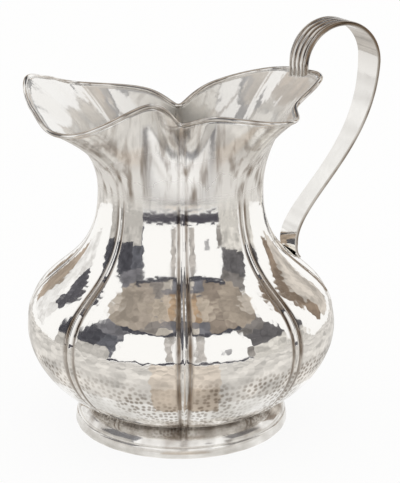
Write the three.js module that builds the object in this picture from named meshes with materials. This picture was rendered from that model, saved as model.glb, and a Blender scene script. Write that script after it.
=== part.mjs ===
import * as THREE from "three";

// Water jug in hammered silver: a raised body of eight lobes, a lip pinched in at two sides to
// form a spout, a round rim wire, a domed foot on a base band and a reeded strap handle.
// Millimetres, +Z up. The handle stands along +X and angles run anticlockwise from it.

// Body
const LOBES = 8;
const WALL = 1.6; // thickness of the raised sheet
const GAP = 0.3; // solder clearance between neighbouring pieces
const BASE_HEIGHT = 11.6; // underside of the body on its axis
const JOINT_RADIUS = 46; // where the bowl leaves the foot
const JOINT_HEIGHT = 13;
const JOINT_REACH = 16.5; // how far the bowl runs out before it turns up
const JOINT_RISE = 2.7;
const BELLY_RADIUS = 83.3;
const BELLY_HEIGHT = 57.5;
const BOWL_TURN = 20.4; // length of the upright turn below the belly
const SHOULDER_TURN = 31.5; // length of the upright turn above the belly
const NECK_RADIUS = 44.2;
const NECK_HEIGHT = 131;
const NECK_TURN = 50; // length of the upright turn below the neck
const LIP_CURVE = 2.1; // how late the lip turns outward above the neck
const LOBE_AT_FOOT = 1; // depth of the valleys between lobes
const LOBE_AT_BELLY = 2;
const LOBE_AT_NECK = 1.2;
const RIB_WIDTH = 3.6; // raised divider along each valley
const RIB_AT_BELLY = 1.3;
const RIB_AT_RIM = 0.5;

// Rim edge as radius and height, one entry every half lobe from the handle round
const RIM = [
  [71.5, 184.5], // handle seat
  [73, 181],
  [48, 175],
  [25, 168], // first pinch
  [44, 172.5],
  [74, 173.3],
  [75.5, 181.3],
  [78.5, 186.5], // spout tip
  [79, 176.5],
  [77, 169.3],
  [41, 180],
  [24.6, 168], // second pinch
  [46, 174.4],
  [72, 174],
  [62.8, 177],
  [72.5, 186],
];
const WIRE_RADIUS = 1.2;

// Foot
const BAND_RADIUS = 58;
const BAND_HEIGHT = 5.5;
const BAND_WALL = 3.6;
const BAND_ROUND = 0.9; // rounding of the band's outer top edge
const COLLAR_SETBACK = 1; // from the band's face to the collar's lower edge
const COLLAR_WALL = 2.2;
const COLLAR_LEDGE = 1; // how far the collar's upper edge stands outside the bowl joint
const DOME_INSET = 0.6; // how far the steep side of the collar leans in
const DOME_DROP = 1.8; // from the collar's upper edge down to where its side would meet its top

// Handle
const STRAP_THICKNESS = 2.4;
const BEAD_WIDTH = 2.6; // narrow reed along each edge
const REED_WIDTH = 5.2; // broad reeds between the edges
const BROAD_REEDS = 3;
const REED_DEPTH = 0.9; // depth of the grooves between reeds
const ARCH_CENTRE = 91; // distance of the arch's centre from the body axis
const ARCH_HEIGHT = 189.5;
const ARCH_RADIUS = 20.8; // to the inner face of the strap
const TAIL_TURN = 51.5; // length of the upright turn under the arch
const TAIL_REACH = 24; // length of the upright run above the landing
const LANDING_AT = 0.49; // where the strap meets the shoulder, as a share of its curve from the belly
const TOE_AT = 0.43; // where the strap ends
const LANDING_RISE = 5; // height of the turn onto the shoulder
const TOE_SHARE = 0.55; // thickness left at the end of the strap
const ROOT_WIDTH = 0.87; // width of the strap at the lip, as a share of its width on the arch
const TOE_WIDTH = 0.85; // width of the strap at its landing, as a share of its width on the arch
const WAIST = 0.26; // share of the width that the strap loses between its arch and its landing

// Mesh resolution
const LOBE_STEPS = 7; // divisions of a lobe between its two ribs
const BOWL_STEPS = 6;
const SHOULDER_STEPS = 7;
const LIP_STEPS = 7;
const WIRE_STEPS = 6;
const LATHE_STEPS = 72;
const DOME_STEPS = 6;
const REED_STEPS = 3;
const ARCH_STEPS = 12;
const TAIL_STEPS = 13;
const TOE_STEPS = 5;
const ANGLE_NUDGE = 0.02; // step used to measure the slope of the sheet
const CURVE_NUDGE = 0.01;

const LOBE_ANGLE = (2 * Math.PI) / LOBES;
const LIP_END = 3; // the sheet runs 0-1 over the bowl, 1-2 over the shoulder and 2-3 over the lip

const bowlCurve = new THREE.CubicBezierCurve(
  new THREE.Vector2(JOINT_RADIUS, JOINT_HEIGHT),
  new THREE.Vector2(JOINT_RADIUS + JOINT_REACH, JOINT_HEIGHT + JOINT_RISE),
  new THREE.Vector2(BELLY_RADIUS, BELLY_HEIGHT - BOWL_TURN),
  new THREE.Vector2(BELLY_RADIUS, BELLY_HEIGHT),
);
const shoulderCurve = new THREE.CubicBezierCurve(
  new THREE.Vector2(BELLY_RADIUS, BELLY_HEIGHT),
  new THREE.Vector2(BELLY_RADIUS, BELLY_HEIGHT + SHOULDER_TURN),
  new THREE.Vector2(NECK_RADIUS, NECK_HEIGHT - NECK_TURN),
  new THREE.Vector2(NECK_RADIUS, NECK_HEIGHT),
);

// Smooth value through four evenly spaced ones, between the middle two.
function blend4(a, b, c, d, u) {
  const square = 2 * a - 5 * b + 4 * c - d;
  const cube = 3 * b - a - 3 * c + d;
  return b + 0.5 * u * (c - a + u * (square + u * cube));
}

// Radius and height of the rim edge at an angle.
function rimAt(angle) {
  const turns = angle / (2 * Math.PI);
  const place = (turns - Math.floor(turns)) * RIM.length;
  const first = Math.floor(place);
  const near = [-1, 0, 1, 2].map((k) => RIM[(first + k + RIM.length) % RIM.length]);
  const [radius, height] = [0, 1].map((k) => blend4(...near.map((entry) => entry[k]), place - first));
  return { radius, height };
}

// Value at a place along the sheet, eased between its values at foot, belly, neck and rim.
function alongSheet(values, t) {
  const first = Math.min(Math.floor(t), LIP_END - 1);
  return THREE.MathUtils.lerp(values[first], values[first + 1], THREE.MathUtils.smoothstep(t - first, 0, 1));
}

// Radius and height of the crest of the lobes.
function crest(angle, t) {
  if (t <= 1) return bowlCurve.getPoint(t);
  if (t <= 2) return shoulderCurve.getPoint(t - 1);
  const rim = rimAt(angle);
  const out = (t - 2) ** LIP_CURVE;
  return new THREE.Vector2(
    THREE.MathUtils.lerp(NECK_RADIUS, rim.radius, out),
    THREE.MathUtils.lerp(NECK_HEIGHT, rim.height, t - 2),
  );
}

// Outer face of the lobed sheet, without the ribs.
function sheet(angle, t) {
  const top = crest(angle, t);
  const lobe = angle / LOBE_ANGLE - 0.5;
  const fromValley = 2 * Math.abs(lobe - Math.round(lobe));
  const depth = alongSheet([LOBE_AT_FOOT, LOBE_AT_BELLY, LOBE_AT_NECK, 0], t);
  const radius = top.x - depth * (1 - fromValley) ** 2;
  return new THREE.Vector3(radius * Math.cos(angle), radius * Math.sin(angle), top.y);
}

// Direction up the sheet, from foot to rim.
function upSheet(angle, t) {
  const high = sheet(angle, Math.min(t + CURVE_NUDGE, LIP_END));
  return high.sub(sheet(angle, Math.max(t - CURVE_NUDGE, 0))).normalize();
}

function sheetNormal(angle, t) {
  const around = sheet(angle + ANGLE_NUDGE, t).sub(sheet(angle - ANGLE_NUDGE, t));
  return around.cross(upSheet(angle, t)).normalize();
}

// Angles of the columns of the body at a place up the sheet, each with its share of the rib's height.
function columns(t) {
  const list = [];
  for (let k = 0; k < LOBES; k++) {
    const rib = (k + 0.5) * LOBE_ANGLE;
    const next = rib + LOBE_ANGLE;
    const start = rib + RIB_WIDTH / 2 / Math.hypot(sheet(rib, t).x, sheet(rib, t).y);
    const end = next - RIB_WIDTH / 2 / Math.hypot(sheet(next, t).x, sheet(next, t).y);
    list.push({ angle: rib, rib: 1 });
    for (let i = 0; i <= LOBE_STEPS; i++) {
      list.push({ angle: THREE.MathUtils.lerp(start, end, i / LOBE_STEPS), rib: 0 });
    }
  }
  return list;
}

function outerRing(t) {
  const height = alongSheet([0, RIB_AT_BELLY, RIB_AT_RIM, RIB_AT_RIM], t);
  return columns(t).map(({ angle, rib }) =>
    sheet(angle, t).addScaledVector(sheetNormal(angle, t), height * rib),
  );
}

function innerRing(t) {
  return columns(t).map(({ angle }) => sheet(angle, t).addScaledVector(sheetNormal(angle, t), -WALL));
}

// Faces between neighbouring closed rings of points, as a list of corner points.
function ringFaces(rings) {
  const corners = [];
  for (let i = 0; i + 1 < rings.length; i++) {
    const low = rings[i];
    const high = rings[i + 1];
    low.forEach((a, j) => {
      const k = (j + 1) % low.length;
      corners.push(a, low[k], high[k], a, high[k], high[j]);
    });
  }
  return corners;
}

// Faces from the last ring to one closing point.
function fanFaces(ring, point) {
  return ring.flatMap((a, j) => [a, ring[(j + 1) % ring.length], point]);
}

function geometryOf(corners) {
  return new THREE.BufferGeometry().setFromPoints(corners);
}

function bodyGeometry() {
  const places = [];
  for (let i = 0; i < BOWL_STEPS; i++) places.push(i / BOWL_STEPS);
  for (let i = 0; i < SHOULDER_STEPS; i++) places.push(1 + i / SHOULDER_STEPS);
  for (let i = 0; i <= LIP_STEPS; i++) places.push(2 + i / LIP_STEPS);
  const outside = places.map(outerRing);
  const inside = places.map(innerRing).reverse();
  const under = new THREE.Vector3(0, 0, BASE_HEIGHT);
  const floor = new THREE.Vector3(0, 0, BASE_HEIGHT + WALL);
  return geometryOf([
    ...fanFaces(outside[0].slice().reverse(), under),
    ...ringFaces([...outside, ...inside]),
    ...fanFaces(inside.at(-1), floor),
  ]);
}

// Round wire carried just past the edge of the lip.
function wireGeometry() {
  const rings = [];
  for (let i = 0; i <= WIRE_STEPS; i++) {
    const turn = (2 * Math.PI * (i % WIRE_STEPS)) / WIRE_STEPS;
    rings.push(
      columns(LIP_END).map(({ angle }) => {
        const out = sheetNormal(angle, LIP_END);
        const up = upSheet(angle, LIP_END);
        return sheet(angle, LIP_END)
          .addScaledVector(out, WIRE_RADIUS * Math.cos(turn) - WALL / 2)
          .addScaledVector(up, WIRE_RADIUS * (1 + Math.sin(turn)) + GAP);
      }),
    );
  }
  return geometryOf(ringFaces(rings));
}

function curvePoints(start, control, end, steps) {
  return new THREE.QuadraticBezierCurve(start, control, end).getPoints(steps);
}

function bandGeometry() {
  const inner = BAND_RADIUS - BAND_WALL;
  const profile = [
    new THREE.Vector2(inner, 0),
    new THREE.Vector2(BAND_RADIUS, 0),
    new THREE.Vector2(BAND_RADIUS, BAND_HEIGHT - BAND_ROUND),
    new THREE.Vector2(BAND_RADIUS - BAND_ROUND, BAND_HEIGHT),
    new THREE.Vector2(inner, BAND_HEIGHT),
  ];
  return new THREE.LatheGeometry([...profile, profile[0]], LATHE_STEPS).rotateX(Math.PI / 2);
}

function collarGeometry() {
  const low = BAND_HEIGHT + GAP;
  const high = JOINT_HEIGHT - GAP;
  const lowOut = BAND_RADIUS - COLLAR_SETBACK;
  const highOut = JOINT_RADIUS + COLLAR_LEDGE;
  const side = lowOut - DOME_INSET;
  const brow = high - DOME_DROP;
  const face = curvePoints(
    new THREE.Vector2(lowOut, low),
    new THREE.Vector2(side, brow),
    new THREE.Vector2(highOut, high),
    DOME_STEPS,
  );
  const back = curvePoints(
    new THREE.Vector2(highOut - COLLAR_WALL, high),
    new THREE.Vector2(side - COLLAR_WALL, brow - COLLAR_WALL),
    new THREE.Vector2(lowOut - COLLAR_WALL, low),
    DOME_STEPS,
  );
  return new THREE.LatheGeometry([...face, ...back, face[0]], LATHE_STEPS).rotateX(Math.PI / 2);
}

// Cross-section of the strap as distance across it and height of its reeded face.
function strapSection() {
  const widths = [BEAD_WIDTH, ...Array(BROAD_REEDS).fill(REED_WIDTH), BEAD_WIDTH];
  const total = widths.reduce((sum, width) => sum + width, 0);
  const points = [];
  let edge = total / 2;
  for (const width of widths) {
    for (let i = 0; i < REED_STEPS; i++) {
      const share = i / REED_STEPS;
      const hollow = REED_DEPTH * (1 - Math.sin(Math.PI * share));
      points.push({ across: edge - width * share, rise: STRAP_THICKNESS - hollow });
    }
    edge -= width;
  }
  points.push({ across: edge, rise: STRAP_THICKNESS - REED_DEPTH });
  return points;
}

// Height just above the upper face of the lip, where the strap stands on it.
function lipTop(x, y) {
  const rim = rimAt(Math.atan2(y, x));
  const reach = rim.radius - NECK_RADIUS;
  const t = ((Math.hypot(x, y) - NECK_RADIUS) / reach) ** (1 / LIP_CURVE);
  const rise = rim.height - NECK_HEIGHT;
  const slope = rise / (reach * LIP_CURVE * t ** (LIP_CURVE - 1));
  return NECK_HEIGHT + rise * t + (WALL + GAP) * Math.hypot(1, slope);
}

// Point just clear of the shoulder on the handle's centre line, in the plane of the handle.
function aboveShoulder(share) {
  const point = sheet(0, 1 + share).addScaledVector(sheetNormal(0, 1 + share), GAP);
  return new THREE.Vector2(point.x, point.z);
}

// Inner line of the strap from the lip over the arch to the shoulder, with its share of the full width;
// toe runs 0 to 1 over the landing.
function strapPath() {
  const landing = aboveShoulder(LANDING_AT);
  const archEnd = new THREE.Vector2(ARCH_CENTRE + ARCH_RADIUS, ARCH_HEIGHT);
  const tailEnd = new THREE.Vector2(landing.x, landing.y + LANDING_RISE);
  const arch = new THREE.EllipseCurve(ARCH_CENTRE, ARCH_HEIGHT, ARCH_RADIUS, ARCH_RADIUS, Math.PI, 0, true);
  const tail = new THREE.CubicBezierCurve(
    archEnd,
    new THREE.Vector2(archEnd.x, archEnd.y - TAIL_TURN),
    new THREE.Vector2(tailEnd.x, tailEnd.y + TAIL_REACH),
    tailEnd,
  );
  const toe = new THREE.QuadraticBezierCurve(tailEnd, landing, aboveShoulder(TOE_AT));
  const path = [];
  for (const [curve, steps, startWidth, endWidth, waist, onToe] of [
    [arch, ARCH_STEPS, ROOT_WIDTH, 1, 0, 0],
    [tail, TAIL_STEPS, 1, TOE_WIDTH, WAIST, 0],
    [toe, TOE_STEPS, TOE_WIDTH, TOE_WIDTH, 0, 1],
  ]) {
    for (let i = path.length ? 1 : 0; i <= steps; i++) {
      const share = i / steps;
      path.push({
        at: curve.getPoint(share),
        along: curve.getTangent(share),
        width: THREE.MathUtils.lerp(startWidth, endWidth, share) - waist * Math.sin(Math.PI * share),
        toe: onToe * share,
      });
    }
  }
  return path;
}

// How far the lobe falls away from the strap's centre line, at a distance across the strap.
function lobeDrop(across) {
  const centre = sheet(0, 1 + TOE_AT).x;
  return centre - sheet(Math.asin(across / centre), 1 + TOE_AT).x;
}

function strapGeometry() {
  const section = strapSection();
  const faceNormal = sheetNormal(0, 1 + TOE_AT);
  const pairs = strapPath().map(({ at, along, width, toe }) =>
    section.map(({ across, rise }) => {
      const off = across * width;
      const place = (height) =>
        new THREE.Vector3(at.x - along.y * height, off, at.y + along.x * height).addScaledVector(
          faceNormal,
          -toe * lobeDrop(off) * faceNormal.x,
        );
      return [place(rise * THREE.MathUtils.lerp(1, TOE_SHARE, toe)), place(0)];
    }),
  );
  const root = pairs[0].map((pair) => pair.map((p) => new THREE.Vector3(p.x, p.y, lipTop(p.x, p.y))));
  const strips = [root, ...pairs];
  const rings = strips.map((strip) => [
    ...strip.map((pair) => pair[0]),
    ...strip.map((pair) => pair[1]).reverse(),
  ]);
  const corners = ringFaces(rings);
  for (let j = 0; j + 1 < section.length; j++) {
    const [a, b] = [root[j], root[j + 1]];
    const [c, d] = [strips.at(-1)[j], strips.at(-1)[j + 1]];
    corners.push(a[0], b[1], b[0], a[0], a[1], b[1]);
    corners.push(c[0], d[0], d[1], c[0], d[1], c[1]);
  }
  return geometryOf(corners);
}

const jug = new THREE.Group();

function addPiece(name, geometry, colour, roughness) {
  geometry.computeVertexNormals();
  const material = new THREE.MeshStandardMaterial({ color: colour, metalness: 1, roughness });
  const mesh = new THREE.Mesh(geometry, material);
  mesh.name = name;
  jug.add(mesh);
}

addPiece("body_wall", bodyGeometry(), 0xd8d5cd, 0.2);
addPiece("rim_wire", wireGeometry(), 0xe2dfd8, 0.15);
addPiece("foot_collar", collarGeometry(), 0xd4d1ca, 0.2);
addPiece("foot_band", bandGeometry(), 0xdedbd4, 0.15);
addPiece("handle_strap", strapGeometry(), 0xdcd9d2, 0.18);

// The origin lies under the middle of the whole jug.
const middle = new THREE.Box3().setFromObject(jug).getCenter(new THREE.Vector3());
for (const mesh of jug.children) mesh.geometry.translate(-middle.x, -middle.y, 0);

export default jug;
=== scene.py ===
"""Hammered silver water jug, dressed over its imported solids."""

import math

import bpy
import numpy as np
from bpy.props import FloatProperty, IntProperty, PointerProperty, StringProperty
from mathutils import Euler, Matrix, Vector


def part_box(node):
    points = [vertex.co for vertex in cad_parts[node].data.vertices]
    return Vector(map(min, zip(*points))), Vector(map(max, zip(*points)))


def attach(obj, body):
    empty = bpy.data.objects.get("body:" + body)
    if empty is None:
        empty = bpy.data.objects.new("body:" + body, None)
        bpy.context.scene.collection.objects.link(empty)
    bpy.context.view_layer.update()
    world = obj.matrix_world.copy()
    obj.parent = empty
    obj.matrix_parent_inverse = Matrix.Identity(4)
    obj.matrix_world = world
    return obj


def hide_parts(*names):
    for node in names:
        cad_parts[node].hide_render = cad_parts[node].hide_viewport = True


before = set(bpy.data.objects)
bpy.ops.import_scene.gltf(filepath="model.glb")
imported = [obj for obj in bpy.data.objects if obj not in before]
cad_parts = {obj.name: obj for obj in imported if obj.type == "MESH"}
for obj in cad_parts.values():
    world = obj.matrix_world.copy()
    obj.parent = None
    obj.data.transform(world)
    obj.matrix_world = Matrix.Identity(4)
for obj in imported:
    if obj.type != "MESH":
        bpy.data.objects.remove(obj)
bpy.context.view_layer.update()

bl_info = {
    "name": "Hammered Silver Jug",
    "version": (1, 0, 0),
    "blender": (4, 5, 0),
    "location": "View3D > Sidebar > Jug",
    "description": "Raises, chases and polishes a lobed silver water jug over its solids",
    "category": "Object",
}

BAND_LOW, BAND_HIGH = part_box("foot_band")
AXIS = np.array([(BAND_LOW.x + BAND_HIGH.x) / 2, (BAND_LOW.y + BAND_HIGH.y) / 2, 0.0])
LOBES = 8
LOBE_ANGLE = 2 * math.pi / LOBES
BOWL, SHOULDER, LIP, RIM = 0.0, 1.0, 2.0, 3.0  # places up the sheet where its stretches start and end

# Rim edge as radius and height in metres, one entry every half lobe from the handle round.
RIM_EDGE = np.array([
    (0.0715, 0.1845),  # handle seat
    (0.0730, 0.1810),
    (0.0480, 0.1750),
    (0.0250, 0.1680),  # first pinch
    (0.0440, 0.1725),
    (0.0740, 0.1733),
    (0.0755, 0.1813),
    (0.0785, 0.1865),  # spout tip
    (0.0790, 0.1765),
    (0.0770, 0.1693),
    (0.0410, 0.1800),
    (0.0246, 0.1680),  # second pinch
    (0.0460, 0.1744),
    (0.0720, 0.1740),
    (0.0628, 0.1770),
    (0.0725, 0.1860),
])

# Mesh rows up the bowl, the shoulder and the lip, on the outer and on the inner face.
OUTER_ROWS = (38, 52, 42)
INNER_ROWS = (14, 20, 38)
BASE_ROWS = (0.02, 0.35, 0.7)  # mesh rows across the base, in shares of its radius
LOBE_COLUMNS = 32  # mesh columns across a lobe, with the outermost ones of its two dividers
# Mesh columns beside a divider, in shares of its width.
RIB_COLUMNS = np.array([0.12, 0.24, 0.36, 0.46, 0.56, 0.68, 0.8, 0.92, 1.06])

# A divider's half width, and the middle and half width of the line beside it, in shares of its width.
BEAD_HALF, LINE_AT, LINE_HALF = 0.5, 0.7, 0.26
# Shares at the foot, the belly, the neck and the rim.
RIB_SPREAD = (0.7, 1.35, 0.9, 0.7)  # width of a divider
RIB_RELIEF = (0.35, 1.0, 0.45, 0.2)  # height of a divider and depth of its lines
BLOWS = (1.0, 0.6, 0.3, 0.2)  # strength of the hammer marks
CLOTH = (1.0, 1.0, 1.0, 0.4)  # how much the wiping shows, where the sheet is wiped
INNER_BLOWS = 0.5  # strength of the hammer marks on the inner face
WIPED_FROM, WIPED_OVER = 1.96, 0.16  # place where the wiped neck starts, and the stretch in which it sets in
TRACE_FROM, TRACE_OVER = 2.25, 0.5  # the same for the trace of the dividers on the inner face
TRACE = -0.08  # depth of that trace, as a share of the divider

COLLAR_LAP = 0.0001  # how far the collar reaches below the band's top
COLLAR_STEP = 0.0002  # how far it stands above the joint
LEAN_CURVE = 1.5  # how late the band's face leans in
ROOT_SINK = 0.0004  # how far the strap's root stands in the lip
TOE_SEAM = 12  # mesh rows at the strap's end that the solder follows
WIRE_SIDES, SOLDER_SIDES = 14, 8  # sides of the wire's round section and of the solder's

# Sizes of the patterns in the silver, in metres.
CLOUD_SIZE = 0.0167  # drifts of film on the sheet
PATCH_SIZE = 0.0263  # patches of painted shade near the rim, and patches in which the low bowl's spots of film and painted reflection are fainter
STREAK_SIZE = 0.00455  # width of the streaks left by wiping
STREAK_STRETCH = 0.12  # width of a streak, as a share of its length
FILED_CLOUD = 0.0111  # drifts of film on the wire and the foot
STRAP_CLOUD = 0.0143  # drifts of film on the strap
STRAP_WAVE = 0.0125  # waves left in the strap by bending
SOLDER_GRAIN = 0.0025  # grain of the solder

# Shares of white haze, shares of brown film and added roughness on the sheet.
NECK_HAZE, INSIDE_HAZE, HOLLOW_HAZE = 0.4, 0.46, 0.6
INSIDE_FILM, HOLLOW_FILM = 0.09, 0.25
NECK_DULL, INSIDE_DULL = 0.24, 0.03
ARCH_FILM = 0.38  # share of brown film over the arch of the strap
ARCH_FADE = (-0.02, 0.01)  # heights between which it sets in, from where the arch springs
RIDGE_FILM = 0.05  # share left on the crests of the reeds

FLOOR_REACH = 3.0  # half the width of the floor
FLOOR_GLOW = 0.9  # share of plain white in the floor, as the camera and the silver see it
ROOM = 2.0  # distance of the first wall card from the jug
CARD_STEP = 0.003  # how much nearer each later card stands, so that it hides the earlier ones
EYE_LEVEL = 0.09  # height from which the cards' rises are measured
WALL_GRAIN, TABLE_GRAIN = 0.28, 0.05  # size of the uneven tone on the cards
TONE_SPREAD = 0.28  # how far that tone goes to either side of the card's colour

# Studio cards that the silver mirrors: turn from the camera and rise in degrees, and colour.
WALL_CARDS = (
    ("ceiling", (0, 360), (60, 90), "B3A89B"),
    ("left_wall", (-92, -50), (-2.6, 14), "BBB8B4"),
    ("left_flag", (-94, -68), (8, 38), "4C4C52"),
    ("left_shade", (-68, -48), (13, 38), "62636A"),
    ("left_screen", (-90, -50), (38, 52), "78777C"),
    ("left_jamb", (-53, -50), (-2.6, 13), "66676F"),
    ("right_wall", (54, 95), (-2.6, 16), "D0CDC8"),
    ("right_flag", (55, 95), (16, 41), "656365"),
    ("right_screen", (55, 95), (41, 52), "7C7876"),
    ("right_jamb", (47, 55), (-2.6, 16), "8E8A87"),
    ("mullion", (-1, 8), (-2, 53), "B9B4B0"),
    ("catch", (26, 33), (9, 20), "BBBABC"),
    ("left_beam", (-95, -66), (52, 74), "A59B90"),
    ("left_rafter", (-66, -40), (57, 74), "A0968C"),
    ("middle_beam", (-40, -15), (57, 74), "938D89"),
    ("skylight", (-15, 5), (57, 66), "CCC5BC"),
    ("dark_beam", (5, 25), (57, 72), "737379"),
    ("low_purlin", (-15, 5), (66, 72), "817E80"),
    ("right_beam", (25, 62), (57, 74), "8E8379"),
    ("valance", (-66, 62), (52, 57), "4C4C53"),
    ("right_eave", (62, 95), (52, 74), "A3988C"),
    ("back_eave", (95, 265), (52, 74), "C4BBB1"),
    ("high_purlin", (-15, 25), (72, 90), "BDB0A2"),
    ("warm_purlin", (0, 16), (72, 84), "AF967C"),
    ("left_door", (-128, -114), (26, 44), "5E5D63"),
    ("left_corner", (-142, -114), (-2, 26), "F2F0EE"),
    ("left_back", (-178, -142), (-6, 26), "A89A8C"),
    ("right_door", (115, 127), (3, 44), "8C7D6F"),
    ("right_corner", (127, 150), (-2, 40), "C9C2BA"),
    ("back_flag", (162, 198), (20, 48), "5A5B60"),
)

# Cards on the table: turn, nearest and farthest distance from the axis, height and colour.
TABLE_CARDS = (
    ("paper", (-180, 180), (0.0585, 0.085), 0.0004, "F0EEEA"),
    ("table", (-180, 180), (0.085, 0.540), 0.0004, "D6D3CF"),
    ("near_runner", (-13, 20), (0.072, 0.120), 0.0006, "C0B4A7"),
    ("far_runner", (-13, 20), (0.120, 0.530), 0.0006, "D6CCC1"),
    ("table_edge", (-52, 52), (0.600, 1.300), 0.0006, "4C4A52"),
    ("left_table", (-92, -52), (0.540, 2.0), 0.0004, "BDBAB6"),
    ("right_table", (52, 95), (0.540, 2.0), 0.0004, "D0CDC8"),
)

# Kinds of node that the trees use often, and their settings.
MATH, RAMP, NOISE, MIX = "ShaderNodeMath", "ShaderNodeMapRange", "ShaderNodeTexNoise", "ShaderNodeMix"
TIMES, TIMES_PLUS, LESS = ({"operation": name} for name in ("MULTIPLY", "MULTIPLY_ADD", "SUBTRACT"))
SMOOTH = {"interpolation_type": "SMOOTHSTEP"}  # a ramp between s1 and s2, where it has the values s3 and s4
COLOURS = {"data_type": "RGBA"}


def length(name, default, description):
    """A size in metres that a user may change."""
    return FloatProperty(name=name, description=description, default=default, unit="LENGTH", precision=5)


def ratio(name, default, description):
    """A plain number that a user may change."""
    return FloatProperty(name=name, description=description, default=default)


class JugBodySizes(bpy.types.PropertyGroup):
    """Sizes of the raised and chased body."""

    wall: length("Wall", 0.0016, "Thickness of the raised sheet")
    base_height: length("Base Height", 0.0116, "Underside of the body on its axis")
    joint_radius: length("Joint Radius", 0.046, "Where the bowl leaves the foot")
    joint_height: length("Joint Height", 0.013, "Height of the joint with the foot")
    joint_reach: length("Joint Reach", 0.0165, "How far the bowl runs out before it turns up")
    joint_rise: length("Joint Rise", 0.0027, "How far the bowl rises over that reach")
    belly_radius: length("Belly Radius", 0.0833, "Widest part of the body")
    belly_height: length("Belly Height", 0.0575, "Height of the widest part")
    bowl_turn: length("Bowl Turn", 0.0204, "Upright turn below the belly")
    shoulder_turn: length("Shoulder Turn", 0.0315, "Upright turn above the belly")
    neck_radius: length("Neck Radius", 0.0442, "Narrowest part of the neck")
    neck_height: length("Neck Height", 0.131, "Height of the narrowest part")
    neck_turn: length("Neck Turn", 0.05, "Upright turn below the neck")
    lip_curve: ratio("Lip Curve", 2.1, "How late the lip turns outward")
    lobe_foot: length("Lobe at Foot", 0.001, "Depth of the valleys at the foot")
    lobe_belly: length("Lobe at Belly", 0.002, "Depth of the valleys at the belly")
    lobe_neck: length("Lobe at Neck", 0.0012, "Depth of the valleys at the neck")
    rib_width: length("Rib Width", 0.0030, "Raised divider in each valley")
    rib_height: length("Rib Height", 0.0011, "Height of the divider at the belly")
    groove_depth: length("Groove Depth", 0.0004, "Chased line on each side of a divider")
    mark_size: length("Facet Size", 0.0080, "Spacing of the planishing facets")
    mark_depth: length("Facet Depth", 0.00018, "Depth of a planishing facet")
    seed: IntProperty(name="Seed", description="Lay of the hammer facets", default=7)


class JugTrimSizes(bpy.types.PropertyGroup):
    """Sizes of the rim wire, the foot and the handle."""

    wire_radius: length("Wire Radius", 0.0012, "Rim wire")
    solder_radius: length("Solder Radius", 0.0005, "Fillet of solder along a joint")
    band_radius: length("Band Radius", (BAND_HIGH.x - BAND_LOW.x) / 2, "Outside of the base band")
    band_height: length("Band Height", BAND_HIGH.z, "Top of the base band")
    band_wall: length("Band Wall", 0.0036, "Thickness of the base band")
    band_lean: length("Band Lean", 0.0009, "How far the band leans in under the collar")
    band_round: length("Band Round", 0.0004, "Rounding of the band's lower edge")
    collar_setback: length("Collar Setback", 0.001, "From the band's face to the collar")
    collar_wall: length("Collar Wall", 0.0022, "Thickness of the collar")
    collar_ledge: length("Collar Ledge", 0.001, "How far the collar stands outside the joint")
    dome_inset: length("Dome Inset", 0.0006, "How far the steep side of the collar leans in")
    dome_drop: length("Dome Drop", 0.0018, "From the collar's upper edge to the brow of its side")
    strap_thickness: length("Strap Thickness", 0.0024, "Handle strap over its reeds")
    bead_width: length("Bead Width", 0.0026, "Narrow reed along each edge of the strap")
    reed_width: length("Reed Width", 0.0052, "Broad reeds of the strap")
    reed_depth: length("Reed Depth", 0.0009, "Depth of the grooves between reeds")
    arch_centre: length("Arch Centre", 0.091, "From the body axis to the middle of the arch")
    arch_height: length("Arch Height", 0.1895, "Where the arch springs")
    arch_radius: length("Arch Radius", 0.0208, "To the inner face of the strap")
    tail_turn: length("Tail Turn", 0.0515, "Upright turn under the arch")
    tail_reach: length("Tail Reach", 0.024, "Upright run above the landing")
    landing_rise: length("Landing Rise", 0.005, "Height of the turn onto the shoulder")
    landing_at: ratio("Landing", 0.49, "Where the strap meets the shoulder")
    toe_at: ratio("Toe", 0.43, "Where the strap ends on the shoulder")
    toe_share: ratio("Toe Share", 0.55, "Thickness left at the toe")
    root_width: ratio("Root Width", 0.87, "Share of the strap's width at the lip")
    toe_width: ratio("Toe Width", 0.85, "Share of the strap's width at the toe")
    waist: ratio("Waist", 0.26, "Share of the width lost above the landing")


class JugFinish(bpy.types.PropertyGroup):
    """Colours of the silver, as sRGB hex values, and its hammer marks."""

    silver: StringProperty(name="Silver", description="Polished silver", default="FBF9F5")
    # This brown is the real film, and it also paints the shade near the rim and the dark spots in the low
    # bowl's hammer marks.
    tarnish_and_shade: StringProperty(name="Tarnish", description="Brown film in lines and hollows", default="7D6C5B")
    solder: StringProperty(name="Solder", description="Silver solder", default="D9D5CC")
    mark_spacing: length("Mark Spacing", 0.0030, "Spacing of the small hammer marks")


class JugStage(bpy.types.PropertyGroup):
    """Camera and surroundings."""

    distance: length("Distance", 0.750, "From the jug's axis to the camera, level")
    height: length("Height", 0.33706, "Camera height")
    side: length("Side", 0.0103, "Camera's shift to its own right")
    turn: FloatProperty(name="Turn", description="Camera's turn round the jug", default=math.radians(-24.5),
                        subtype="ANGLE")
    pitch: FloatProperty(name="Pitch", description="Camera's tilt below level", default=math.radians(17.571),
                         subtype="ANGLE")
    lens: ratio("Lens", 109.95, "Focal length in millimetres")


def linear(hex_colour):
    """An sRGB hex colour as linear red, green, blue and alpha."""
    parts = [int(hex_colour[i:i + 2], 16) / 255 for i in (0, 2, 4)]
    return [p / 12.92 if p <= 0.04045 else ((p + 0.055) / 1.055) ** 2.4 for p in parts] + [1.0]


def add(tree, kind, settings=None, **inputs):
    """Adds a node. A key of inputs is a socket's name, or its place as s0, s1 and so on, and its value is a
    link or a number."""
    node = tree.nodes.new(kind)
    for key, value in (settings or {}).items():
        setattr(node, key, value)
    for key, value in inputs.items():
        place = int(key[1:]) if key[0] == "s" and key[1:].isdigit() else key.replace("_", " ")
        if isinstance(value, bpy.types.NodeSocket):
            tree.links.new(value, node.inputs[place])
        else:
            node.inputs[place].default_value = value
    return node


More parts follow.
